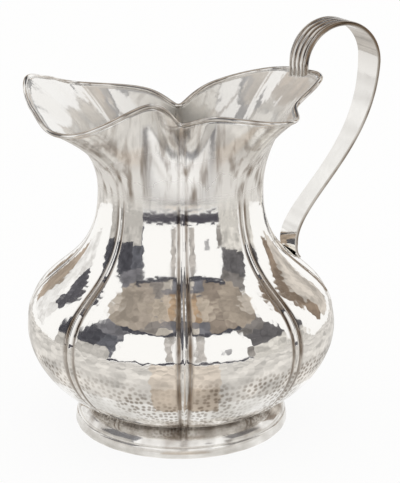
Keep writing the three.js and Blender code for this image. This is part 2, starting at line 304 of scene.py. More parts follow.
def ease(share):
    """A share from 0 to 1 that starts and ends slowly."""
    return share * share * (3 - 2 * share)


def bezier(points, share):
    """Points of a cubic curve at shares from 0 to 1."""
    a, b, c, d = (np.array(p) for p in points)
    t = np.asarray(share, float)[..., None]
    return a * (1 - t) ** 3 + 3 * b * t * (1 - t) ** 2 + 3 * c * t * t * (1 - t) + d * t ** 3


def rim_edge(angle):
    """Radius and height of the rim, on a smooth closed curve through RIM_EDGE."""
    place = np.mod(angle / (2 * math.pi), 1) * len(RIM_EDGE)
    first = np.floor(place).astype(int)
    a, b, c, d = (RIM_EDGE[(first + k) % len(RIM_EDGE)] for k in (-1, 0, 1, 2))
    u = (place - first)[..., None]
    edge = b + 0.5 * u * (c - a + u * (2 * a - 5 * b + 4 * c - d + u * (3 * b - a - 3 * c + d)))
    return edge[..., 0], edge[..., 1]


def up_sheet(values, place):
    """A value eased between its values at the foot, belly, neck and rim."""
    first = np.minimum(np.floor(place), 2).astype(int)
    values = np.array(values)
    share = ease(place - first)
    return values[first] * (1 - share) + values[first + 1] * share


def from_valley(angle):
    """0 on a divider and 1 on the middle of a lobe."""
    lobe = angle / LOBE_ANGLE - 0.5
    return 2 * np.abs(lobe - np.round(lobe))


def sheet(s, angle, place):
    """Outer face of the lobed sheet, without dividers or hammer marks."""
    angle, place = np.broadcast_arrays(np.asarray(angle, float), np.asarray(place, float))
    belly = (s.belly_radius, s.belly_height)
    bowl = bezier(
        (
            (s.joint_radius, s.joint_height),
            (s.joint_radius + s.joint_reach, s.joint_height + s.joint_rise),
            (s.belly_radius, s.belly_height - s.bowl_turn),
            belly,
        ),
        np.clip(place, 0, 1),
    )
    shoulder = bezier(
        (
            belly,
            (s.belly_radius, s.belly_height + s.shoulder_turn),
            (s.neck_radius, s.neck_height - s.neck_turn),
            (s.neck_radius, s.neck_height),
        ),
        np.clip(place - SHOULDER, 0, 1),
    )
    rim_radius, rim_height = rim_edge(angle)
    lip = np.clip(place - LIP, 0, 1)
    lip_radius = s.neck_radius + (rim_radius - s.neck_radius) * lip ** s.lip_curve
    lip_height = s.neck_height + (rim_height - s.neck_height) * lip
    stretch = [place <= SHOULDER, place <= LIP]
    radius = np.select(stretch, [bowl[..., 0], shoulder[..., 0]], lip_radius)
    height = np.select(stretch, [bowl[..., 1], shoulder[..., 1]], lip_height)
    depth = up_sheet((s.lobe_foot, s.lobe_belly, s.lobe_neck, 0), place)
    radius = radius - depth * (1 - from_valley(angle)) ** 2
    return np.stack([radius * np.cos(angle), radius * np.sin(angle), height], -1) + AXIS


def sheet_up(s, angle, place, step=0.01):
    """Unit direction up the sheet."""
    way = sheet(s, angle, np.minimum(place + step, RIM)) - sheet(s, angle, np.maximum(place - step, BOWL))
    return way / np.linalg.norm(way, axis=-1, keepdims=True)


def sheet_normal(s, angle, place, step=0.02):
    """Unit direction out of the sheet."""
    around = sheet(s, angle + step, place) - sheet(s, angle - step, place)
    out = np.cross(around, sheet_up(s, angle, place))
    return out / np.linalg.norm(out, axis=-1, keepdims=True)


def rib_spread(place):
    """How much wider than its named width a divider is: it swells over the belly and thins to both ends."""
    return up_sheet(RIB_SPREAD, place)


def column_angles(s, place):
    """Angles of the mesh columns at a place up the sheet, close together along each divider."""
    near = s.rib_width * rib_spread(place) * RIB_COLUMNS
    rib = (np.arange(LOBES + 1) + 0.5) * LOBE_ANGLE
    radius = np.linalg.norm((sheet(s, rib, place) - AXIS)[:, :2], axis=1)
    angles = []
    for k in range(LOBES):
        after = rib[k] + near / radius[k]
        before = rib[k + 1] - near[::-1] / radius[k + 1]
        between = np.linspace(after[-1], before[0], LOBE_COLUMNS)[1:-1]
        angles.extend([[rib[k]], after, between, before])
    return np.concatenate(angles)


def mesh_object(name, points, faces, material=None):
    """A new object at the origin with that mesh, shaded smooth."""
    mesh = bpy.data.meshes.new(name)
    mesh.from_pydata(np.asarray(points).tolist(), [], faces)
    mesh.shade_smooth()
    piece = bpy.data.objects.new(name, mesh)
    bpy.context.scene.collection.objects.link(piece)
    if material:
        mesh.materials.append(material)
    return piece


def ring_faces(rings, columns, closed=True):
    """Quads between rings of points that are stored one after another."""
    faces = []
    for i in range(rings - 1):
        low, high = i * columns, (i + 1) * columns
        for j in range(columns if closed else columns - 1):
            k = (j + 1) % columns
            faces.append((low + j, low + k, high + k, high + j))
    return faces


def plain_mesh(piece):
    """Replaces a piece's modifiers by the mesh that they make."""
    graph = bpy.context.evaluated_depsgraph_get()
    made = bpy.data.meshes.new_from_object(piece.evaluated_get(graph), depsgraph=graph)
    piece.modifiers.clear()
    if piece.type == "CURVE":
        name = piece.name
        bpy.data.objects.remove(piece)
        piece = bpy.data.objects.new(name, made)
        bpy.context.scene.collection.objects.link(piece)
    else:
        piece.data = made
    made.name = piece.name
    made.shade_smooth()
    return piece


def run_tree(piece, tree, values):
    """Runs a node tree on a piece with values for its named inputs, and keeps the plain mesh."""
    modifier = piece.modifiers.new(tree.name, "NODES")
    modifier.node_group = tree
    for item in tree.interface.items_tree:
        if item.in_out == "INPUT" and item.name in values:
            modifier[item.identifier] = values[item.name]
    return plain_mesh(piece)


def open_tree(name, inputs):
    """A new node tree with named inputs, its input node and its output node."""
    tree = bpy.data.node_groups.new(name, "GeometryNodeTree")
    tree.interface.new_socket("Geometry", in_out="INPUT", socket_type="NodeSocketGeometry")
    for label, kind in inputs:
        tree.interface.new_socket(label, in_out="INPUT", socket_type=kind)
    tree.interface.new_socket("Geometry", in_out="OUTPUT", socket_type="NodeSocketGeometry")
    return tree, tree.nodes.new("NodeGroupInput").outputs, tree.nodes.new("NodeGroupOutput").inputs


def chased_sheet_tree():
    """Raises a divider between two chased lines in each valley, and dishes the planishing facets."""
    number = "NodeSocketFloat"
    tree, given, result = open_tree("chased_sheet", [
        ("Rib Width", number),
        ("Rib Height", number),
        ("Groove Depth", number),
        ("Facet Size", number),
        ("Facet Depth", number),
        ("Seed", number),
        ("Material", "NodeSocketMaterial"),
    ])
    valley, chased, hammer = (
        add(tree, "GeometryNodeInputNamedAttribute", {"data_type": "FLOAT"}, Name=name).outputs[0]
        for name in ("valley", "chased", "hammer")
    )
    bead_half, line_at, line_half = (
        add(tree, MATH, TIMES, s0=given["Rib Width"], s1=share).outputs[0]
        for share in (BEAD_HALF, LINE_AT, LINE_HALF)
    )
    bead = add(tree, RAMP, SMOOTH, Value=valley, s1=0.0, s2=bead_half, s3=1.0, s4=0.0).outputs[0]
    bead_height = add(tree, MATH, TIMES, s0=bead, s1=given["Rib Height"]).outputs[0]
    off_line = add(tree, MATH, LESS, s0=valley, s1=line_at).outputs[0]
    beside = add(tree, MATH, {"operation": "ABSOLUTE"}, s0=off_line).outputs[0]
    groove = add(tree, RAMP, SMOOTH, Value=beside, s1=0.0, s2=line_half, s3=1.0, s4=0.0).outputs[0]
    groove_drop = add(tree, MATH, TIMES, s0=groove, s1=given["Groove Depth"]).outputs[0]
    raised = add(tree, MATH, LESS, s0=bead_height, s1=groove_drop).outputs[0]
    raised = add(tree, MATH, TIMES, s0=raised, s1=chased).outputs[0]

    place = add(tree, "GeometryNodeInputPosition").outputs[0]
    scale = add(tree, MATH, {"operation": "DIVIDE"}, s0=1.0, s1=given["Facet Size"]).outputs[0]
    facet = add(tree, "ShaderNodeTexVoronoi", {"voronoi_dimensions": "4D", "feature": "SMOOTH_F1"},
                Vector=place, W=given["Seed"], Scale=scale, Smoothness=0.3).outputs["Distance"]
    dished = add(tree, MATH, TIMES, s0=facet, s1=given["Facet Depth"]).outputs[0]
    dished = add(tree, MATH, TIMES, s0=dished, s1=hammer).outputs[0]
    total = add(tree, MATH, {"operation": "ADD"}, s0=raised, s1=dished).outputs[0]
    normal = add(tree, "GeometryNodeInputNormal").outputs[0]
    offset = add(tree, "ShaderNodeVectorMath", {"operation": "SCALE"}, s0=normal, Scale=total).outputs[0]
    moved = add(tree, "GeometryNodeSetPosition", Geometry=given["Geometry"], Offset=offset).outputs[0]
    whole = add(tree, "GeometryNodeRealizeInstances", Geometry=moved).outputs[0]
    dressed = add(tree, "GeometryNodeSetMaterial", Geometry=whole, Material=given["Material"]).outputs[0]
    tree.links.new(dressed, result["Geometry"])
    return tree


def drawn_wire_tree():
    """Sweeps a round section along a line, as a drawn wire or a fillet of solder."""
    tree, given, result = open_tree("drawn_wire", [
        ("Radius", "NodeSocketFloat"),
        ("Sides", "NodeSocketInt"),
        ("Material", "NodeSocketMaterial"),
    ])
    section = add(tree, "GeometryNodeCurvePrimitiveCircle", Resolution=given["Sides"],
                  Radius=given["Radius"]).outputs[0]
    swept = add(tree, "GeometryNodeCurveToMesh", Curve=given["Geometry"], Profile_Curve=section,
                Fill_Caps=True).outputs[0]
    whole = add(tree, "GeometryNodeRealizeInstances", Geometry=swept).outputs[0]
    dressed = add(tree, "GeometryNodeSetMaterial", Geometry=whole, Material=given["Material"]).outputs[0]
    tree.links.new(dressed, result["Geometry"])
    return tree


def line_object(name, points, closed):
    """A curve object through points."""
    curve = bpy.data.curves.new(name, "CURVE")
    curve.dimensions = "3D"
    spline = curve.splines.new("POLY")
    spline.points.add(len(points) - 1)
    spline.points.foreach_set("co", np.column_stack([points, np.ones(len(points))]).ravel())
    spline.use_cyclic_u = closed
    piece = bpy.data.objects.new(name, curve)
    bpy.context.scene.collection.objects.link(piece)
    return piece


def wire_along(name, points, closed, radius, sides, material):
    """A wire of that radius along points."""
    tree = bpy.data.node_groups.get("drawn_wire") or drawn_wire_tree()
    return run_tree(line_object(name, points, closed), tree,
                    {"Radius": radius, "Sides": sides, "Material": material})


def keep_attribute(piece, name, values):
    """Keeps a number or a place for each point of a piece."""
    values = np.asarray(values, np.float32)
    kind, field = ("FLOAT_VECTOR", "vector") if values.ndim == 2 else ("FLOAT", "value")
    piece.data.attributes.new(name, kind, "POINT").data.foreach_set(field, values.ravel())


def silver_shader(name):
    """A material with its tree, its shader node and its Object coordinates."""
    material = bpy.data.materials.new(name)
    material.use_nodes = True
    tree = material.node_tree
    return material, tree, tree.nodes["Principled BSDF"], add(tree, "ShaderNodeTexCoord").outputs["Object"]


def hammered_silver(finish):
    """Raised silver sheet, planished all over: a mirror broken by small hammer marks, and by chased lines
    that hold a brown film. In the low bowl the marks carry dark spots, partly brown film and partly painted
    reflection of the dark that each dimple mirrors. The neck is streaked and hazed by wiping and carries
    painted shade in brown patches on the lip just below the rim, the inside is softer, and the hollow over
    the foot keeps a pale bloom."""
    material, tree, shader, place = silver_shader("hammered_silver_sheet")
    valley, hammer, inside, wiped = (
        add(tree, "ShaderNodeAttribute", {"attribute_name": name}).outputs["Fac"]
        for name in ("valley", "hammer", "inside", "wiped")
    )
    lay = add(tree, "ShaderNodeAttribute", {"attribute_name": "lay"}).outputs["Vector"]
    cloud = add(tree, NOISE, Vector=place, Scale=1 / CLOUD_SIZE, Detail=3.0).outputs["Fac"]
    patch = add(tree, NOISE, Vector=place, Scale=1 / PATCH_SIZE, Detail=1.0).outputs["Fac"]
    upright = add(tree, "ShaderNodeMapping", Vector=place, Scale=(1.0, 1.0, STREAK_STRETCH)).outputs[0]
    streak = add(tree, NOISE, Vector=upright, Scale=1 / STREAK_SIZE, Detail=3.0).outputs["Fac"]

    # The hammer's strength falls all the way up the outer face, so it also tells the place there.
    low_bowl = add(tree, RAMP, SMOOTH, Value=hammer, s1=0.6003, s2=0.625, s3=0.0, s4=1.0).outputs[0]
    hollow = add(tree, RAMP, SMOOTH, Value=hammer, s1=0.88, s2=1.0, s3=0.0, s4=0.9).outputs[0]
    near_rim = add(tree, RAMP, SMOOTH, Value=hammer, s1=0.21, s2=0.28, s3=0.45, s4=0.0).outputs[0]

    # Small hammer marks on the low bowl, with dark spots in some of them: partly film left there, partly
    # painted reflection of the dark that each dimple mirrors.
    blow = add(tree, "ShaderNodeTexVoronoi", {"voronoi_dimensions": "2D"}, Vector=lay, Randomness=0.7,
               Scale=1 / finish.mark_spacing).outputs["Distance"]
    dimple_film_and_reflection = add(tree, RAMP, SMOOTH, Value=blow, s1=0.16, s2=0.52, s3=1.0, s4=0.0).outputs[0]
    worn = add(tree, RAMP, SMOOTH, Value=patch, s1=0.36, s2=0.62, s3=0.12, s4=0.72).outputs[0]
    for share in (worn, low_bowl):
        dimple_film_and_reflection = add(tree, MATH, TIMES, s0=dimple_film_and_reflection, s1=share).outputs[0]

    # Film in the chased lines beside each bright divider, mostly buffed away on the neck and inside.
    line = add(tree, RAMP, SMOOTH, Value=valley, s1=0.0022, s2=0.0040, s3=1.5, s4=0.0).outputs[0]
    off_ridge = add(tree, RAMP, SMOOTH, Value=valley, s1=0.0008, s2=0.0018, s3=0.1, s4=1.0).outputs[0]
    buffed = add(tree, RAMP, SMOOTH, Value=wiped, s1=0.0, s2=0.4, s3=0.0, s4=0.75).outputs[0]
    hidden = add(tree, MATH, TIMES_PLUS, s0=inside, s1=0.95, s2=buffed).outputs[0]
    shown = add(tree, MATH, LESS, s0=1.0, s1=hidden).outputs[0]
    for share in (off_ridge, shown, cloud):
        line = add(tree, MATH, TIMES, s0=line, s1=share).outputs[0]
    film = add(tree, MATH, {"operation": "MAXIMUM"}, s0=dimple_film_and_reflection, s1=line).outputs[0]

    # Streaks on the neck, painted shade in brown patches on the lip just below the rim, and an even film
    # inside and in the hollow.
    smear = add(tree, RAMP, SMOOTH, Value=streak, s1=0.45, s2=0.68, s3=0.04, s4=0.85).outputs[0]
    # Painted shade: brown patches on the lip just below the rim.
    rim_shade = add(tree, RAMP, SMOOTH, Value=patch, s1=0.42, s2=0.58, s3=0.0, s4=1.0).outputs[0]
    rim_shade = add(tree, MATH, TIMES, s0=near_rim, s1=rim_shade).outputs[0]
    for share, most in ((smear, wiped), (rim_shade, wiped), (inside, INSIDE_FILM), (hollow, HOLLOW_FILM)):
        film = add(tree, MATH, TIMES_PLUS, s0=share, s1=most, s2=film).outputs[0]
    film = add(tree, "ShaderNodeClamp", Value=film).outputs[0]
    colour = add(tree, MIX, COLOURS, s0=film, s6=linear(finish.silver), s7=linear(finish.tarnish_and_shade)).outputs[2]
    tree.links.new(colour, shader.inputs["Base Color"])

    bright = 1.0
    for share, haze in ((wiped, NECK_HAZE), (inside, INSIDE_HAZE), (hollow, HOLLOW_HAZE)):
        bright = add(tree, MATH, TIMES_PLUS, s0=share, s1=-haze, s2=bright).outputs[0]
    tree.links.new(bright, shader.inputs["Metallic"])
    gloss = add(tree, RAMP, Value=cloud, s1=0.3, s2=0.7, s3=0.04, s4=0.10).outputs[0]
    for share, dull in ((wiped, NECK_DULL), (inside, INSIDE_DULL)):
        gloss = add(tree, MATH, TIMES_PLUS, s0=share, s1=dull, s2=gloss).outputs[0]
    tree.links.new(gloss, shader.inputs["Roughness"])

    marks = add(tree, "ShaderNodeTexVoronoi", {"feature": "SMOOTH_F1"}, Vector=place, Smoothness=0.5,
                Scale=1 / finish.mark_spacing, Randomness=0.8).outputs["Distance"]
    dish = add(tree, MATH, TIMES, s0=marks, s1=marks).outputs[0]
    strength = add(tree, MATH, TIMES, s0=hammer, s1=0.5).outputs[0]
    dents = add(tree, "ShaderNodeBump", Strength=strength, Distance=0.0003, Height=dish).outputs[0]
    tree.links.new(dents, shader.inputs["Normal"])
    return material


def polished_silver(finish, name, ripple, films, heights, haze):
    """Drawn and polished silver: a mirror with a slow ripple from the file and the buff, and a brown film
    that goes from one share to another between two heights, where the cloth doesn't reach. Haze is the
    share of white bloom on it."""
    material, tree, shader, place = silver_shader(name)
    cloud = add(tree, NOISE, Vector=place, Scale=1 / FILED_CLOUD, Detail=2.0).outputs["Fac"]
    height = add(tree, "ShaderNodeSeparateXYZ", Vector=place).outputs["Z"]
    most = add(tree, RAMP, Value=height, s1=heights[0], s2=heights[1], s3=films[0], s4=films[1]).outputs[0]
    film = add(tree, RAMP, Value=cloud, s1=0.35, s2=0.7, s3=0.0, s4=most).outputs[0]
    colour = add(tree, MIX, COLOURS, s0=film, s6=linear(finish.silver), s7=linear(finish.tarnish_and_shade)).outputs[2]
    tree.links.new(colour, shader.inputs["Base Color"])
    shader.inputs["Metallic"].default_value = 1.0 - haze
    gloss = add(tree, RAMP, Value=cloud, s1=0.3, s2=0.7, s3=0.06, s4=0.14 + 0.3 * haze).outputs[0]
    tree.links.new(gloss, shader.inputs["Roughness"])
    wave = add(tree, NOISE, Vector=place, Scale=1 / ripple, Detail=1.0).outputs["Fac"]
    dents = add(tree, "ShaderNodeBump", Strength=0.15, Distance=0.0004, Height=wave).outputs[0]
    tree.links.new(dents, shader.inputs["Normal"])
    return material


def reeded_silver(finish, arch_height):
    """Rolled silver strap: polished reeds with a brown film in the grooves between them, and a thinner one
    all over the arch."""
    material, tree, shader, place = silver_shader("reeded_silver_strap")
    groove = add(tree, "ShaderNodeAttribute", {"attribute_name": "groove"}).outputs["Fac"]
    cloud = add(tree, NOISE, Vector=place, Scale=1 / STRAP_CLOUD, Detail=3.0).outputs["Fac"]
    worn = add(tree, RAMP, Value=cloud, s1=0.35, s2=0.65, s3=0.6, s4=1.1).outputs[0]
    height = add(tree, "ShaderNodeSeparateXYZ", Vector=place).outputs["Z"]
    low, high = (arch_height + fade for fade in ARCH_FADE)
    arch = add(tree, RAMP, Value=height, s1=low, s2=high, s3=0.0, s4=ARCH_FILM).outputs[0]
    film = add(tree, MATH, {**TIMES_PLUS, "use_clamp": True}, s0=groove, s1=worn, s2=arch).outputs[0]
    colour = add(tree, MIX, COLOURS, s0=film, s6=linear(finish.silver), s7=linear(finish.tarnish_and_shade)).outputs[2]
    tree.links.new(colour, shader.inputs["Base Color"])
    shader.inputs["Metallic"].default_value = 1.0
    gloss = add(tree, RAMP, Value=cloud, s1=0.3, s2=0.7, s3=0.06, s4=0.16).outputs[0]
    tree.links.new(gloss, shader.inputs["Roughness"])
    wave = add(tree, NOISE, Vector=place, Scale=1 / STRAP_WAVE, Detail=2.0).outputs["Fac"]
    dents = add(tree, "ShaderNodeBump", Strength=0.2, Distance=0.0006, Height=wave).outputs[0]
    tree.links.new(dents, shader.inputs["Normal"])
    return material


def silver_solder(finish):
    """Silver solder, flowed along a joint and left a little duller than the sheet."""
    material, tree, shader, place = silver_shader("silver_solder")
    cloud = add(tree, NOISE, Vector=place, Scale=1 / SOLDER_GRAIN, Detail=2.0).outputs["Fac"]
    colour = add(tree, MIX, COLOURS, s0=cloud, s6=linear(finish.solder), s7=linear(finish.silver)).outputs[2]
    tree.links.new(colour, shader.inputs["Base Color"])
    shader.inputs["Metallic"].default_value = 1.0
    shader.inputs["Roughness"].default_value = 0.22
    return material


def settle(piece, slot, *nodes):
    """Fixes a piece to the jug, in place of its solids."""
    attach(piece, "root")
    if nodes:
        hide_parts(*nodes)


class JUG_OT_raise_body(bpy.types.Operator):
    """Raise the body sheet, chase its dividers and planish it"""

    bl_idname = "jug.raise_body"
    bl_label = "Raise Body"

    def execute(self, context):
        s = context.scene.jug_body
        bowl_rows, shoulder_rows, lip_rows = OUTER_ROWS
        outside = np.concatenate([
            np.linspace(BOWL, SHOULDER, bowl_rows, endpoint=False),
            np.linspace(SHOULDER, LIP, shoulder_rows, endpoint=False),
            np.linspace(LIP, RIM, lip_rows),
        ])
        bowl_rows, shoulder_rows, lip_rows = INNER_ROWS
        inside = np.concatenate([
            np.linspace(RIM, LIP, lip_rows, endpoint=False),
            np.linspace(LIP, SHOULDER, shoulder_rows, endpoint=False),
            np.linspace(SHOULDER, BOWL, bowl_rows),
        ])
        rows, lay = [], []
        marks = {name: [] for name in ("valley", "chased", "hammer", "inside", "wiped")}

        def row(points, **values):
            rows.append(points)
            for name, value in values.items():
                marks[name].append(np.broadcast_to(value, len(points)))

        def base_rows(edge, height, shares, within):
            centre = AXIS + np.array([0, 0, height])
            for share in shares:
                row(centre + (edge - centre) * share, valley=1.0, chased=0, hammer=0, inside=within, wiped=0)
                lay.append(np.zeros_like(edge))

        def sheet_row(place, inward):
            angle = column_angles(s, place)
            points = sheet(s, angle, place)
            radius = np.linalg.norm((points - AXIS)[:, :2], axis=1)
            distance = from_valley(angle) * LOBE_ANGLE / 2 * radius / rib_spread(place)
            up = np.full(len(angle), np.interp(place, stations, climb))
            lay.append(np.column_stack([angle * s.belly_radius, up, np.zeros(len(angle))]))
            if inward:
                points = points - sheet_normal(s, angle, place) * s.wall
                trace = TRACE * np.clip((place - TRACE_FROM) / TRACE_OVER, 0, 1)
                row(points, valley=distance, chased=trace, hammer=INNER_BLOWS, inside=1, wiped=0)
            else:
                cloth = np.clip((place - WIPED_FROM) / WIPED_OVER, 0, 1) * up_sheet(CLOTH, place)
                row(points, valley=distance, chased=up_sheet(RIB_RELIEF, place),
                    hammer=up_sheet(BLOWS, place), inside=0, wiped=cloth)

        stations = np.linspace(BOWL, RIM, 200)
        steps = np.linalg.norm(np.diff(sheet(s, 0.0, stations), axis=0), axis=1)
        climb = np.concatenate([[0], np.cumsum(steps)])
        foot_edge = sheet(s, column_angles(s, BOWL), BOWL)
        floor_edge = foot_edge - sheet_normal(s, column_angles(s, BOWL), BOWL) * s.wall
        base_rows(foot_edge, s.base_height, BASE_ROWS, 0.0)
        for place in outside:
            sheet_row(place, False)
        for place in inside:
            sheet_row(place, True)
        base_rows(floor_edge, s.base_height + s.wall, reversed(BASE_ROWS), 1.0)
        columns = len(rows[0])
        faces = ring_faces(len(rows), columns)
        faces.append(tuple(reversed(range(columns))))
        faces.append(tuple(range((len(rows) - 1) * columns, len(rows) * columns)))
        piece = mesh_object("hammered_body", np.concatenate(rows), faces)
        keep_attribute(piece, "lay", np.concatenate(lay))
        for name, values in marks.items():
            keep_attribute(piece, name, np.concatenate(values))
        piece = run_tree(piece, chased_sheet_tree(), {
            "Rib Width": s.rib_width,
            "Rib Height": s.rib_height,
            "Groove Depth": s.groove_depth,
            "Facet Size": s.mark_size,
            "Facet Depth": s.mark_depth,
            "Seed": float(s.seed),
            "Material": hammered_silver(context.scene.jug_finish),
        })
        settle(piece, "body_wall", "body_wall")
        return {"FINISHED"}


class JUG_OT_draw_rim_wire(bpy.types.Operator):
    """Draw the round wire along the edge of the lip"""

    bl_idname = "jug.draw_rim_wire"
    bl_label = "Draw Rim Wire"

    def execute(self, context):
        s, trim, finish = context.scene.jug_body, context.scene.jug_trim, context.scene.jug_finish
        angle = np.linspace(0, 2 * math.pi, 480, endpoint=False)
        line = sheet(s, angle, RIM) - sheet_normal(s, angle, RIM) * s.wall / 2
        line = line + sheet_up(s, angle, RIM) * trim.wire_radius
        material = polished_silver(finish, "polished_silver_wire", ripple=0.012, films=(0.6, 0.6),
                                   heights=(0.0, s.neck_height), haze=0.0)
        piece = wire_along("lip_wire", line, True, trim.wire_radius, WIRE_SIDES, material)
        settle(piece, "rim_wire", "rim_wire")
        return {"FINISHED"}


class JUG_OT_turn_foot(bpy.types.Operator):
    """Turn the domed collar and the base band, and solder the collar to the bowl"""

    bl_idname = "jug.turn_foot"
    bl_label = "Turn Foot"

    def turned(self, name, profile, material):
        """A ring turned from a closed profile of radius and height."""
        columns = 256
        angle = np.linspace(0, 2 * math.pi, columns, endpoint=False)
        rows = [np.column_stack([r * np.cos(angle), r * np.sin(angle), np.full(columns, z)]) + AXIS
                for r, z in profile]
        faces = ring_faces(len(rows), columns)
        last = (len(rows) - 1) * columns
        faces += [(last + j, last + (j + 1) % columns, (j + 1) % columns, j) for j in range(columns)]
        return mesh_object(name, np.concatenate(rows), faces, material)

    def execute(self, context):
        s, trim, finish = context.scene.jug_body, context.scene.jug_trim, context.scene.jug_finish
        silver = polished_silver(finish, "turned_silver_foot", ripple=0.016, films=(0.3, 0.9),
                                 heights=(0.004, s.joint_height), haze=0.2)
        outer, top, soft = trim.band_radius, trim.band_height, trim.band_round
        inner = outer - trim.band_wall
        turn = np.linspace(0, math.pi / 2, 6)
        lower = [(outer - soft * (1 - math.sin(a)), soft * (1 - math.cos(a))) for a in turn]
        rise = np.linspace(0, 1, 6)[1:]
        face = [(outer - trim.band_lean * a ** LEAN_CURVE, soft + (top - soft) * a) for a in rise]
        band = self.turned("base_band", [(inner, 0.0), *lower, *face, (inner, top)], silver)
        settle(band, "foot_band", "foot_band")

        low, high = top - COLLAR_LAP, s.joint_height + COLLAR_STEP
        low_out, high_out = outer - trim.collar_setback, s.joint_radius + trim.collar_ledge
        side, brow = low_out - trim.dome_inset, high - trim.dome_drop
        share = np.linspace(0, 1, 18)[:, None]

        def dome(low_end, middle, high_end):
            ends = np.array([low_end, middle, high_end])
            return ends[0] * (1 - share) ** 2 + 2 * ends[1] * share * (1 - share) + ends[2] * share ** 2

        wall = trim.collar_wall
        face = dome((low_out, low), (side, brow), (high_out, high))
        back = dome((low_out - wall, low), (side - wall, brow - wall), (high_out - wall, high))
        collar = self.turned("domed_collar", [*face, *back[::-1]], silver)
        settle(collar, "foot_collar", "foot_collar")

        angle = np.linspace(0, 2 * math.pi, 320, endpoint=False)
        level = np.full(len(angle), high)
        joint = np.column_stack([high_out * np.cos(angle), high_out * np.sin(angle), level]) + AXIS
        solder = silver_solder(finish)
        seam = wire_along("foot_solder", joint, True, trim.solder_radius, SOLDER_SIDES, solder)
        settle(seam, "foot_collar")
        return {"FINISHED"}


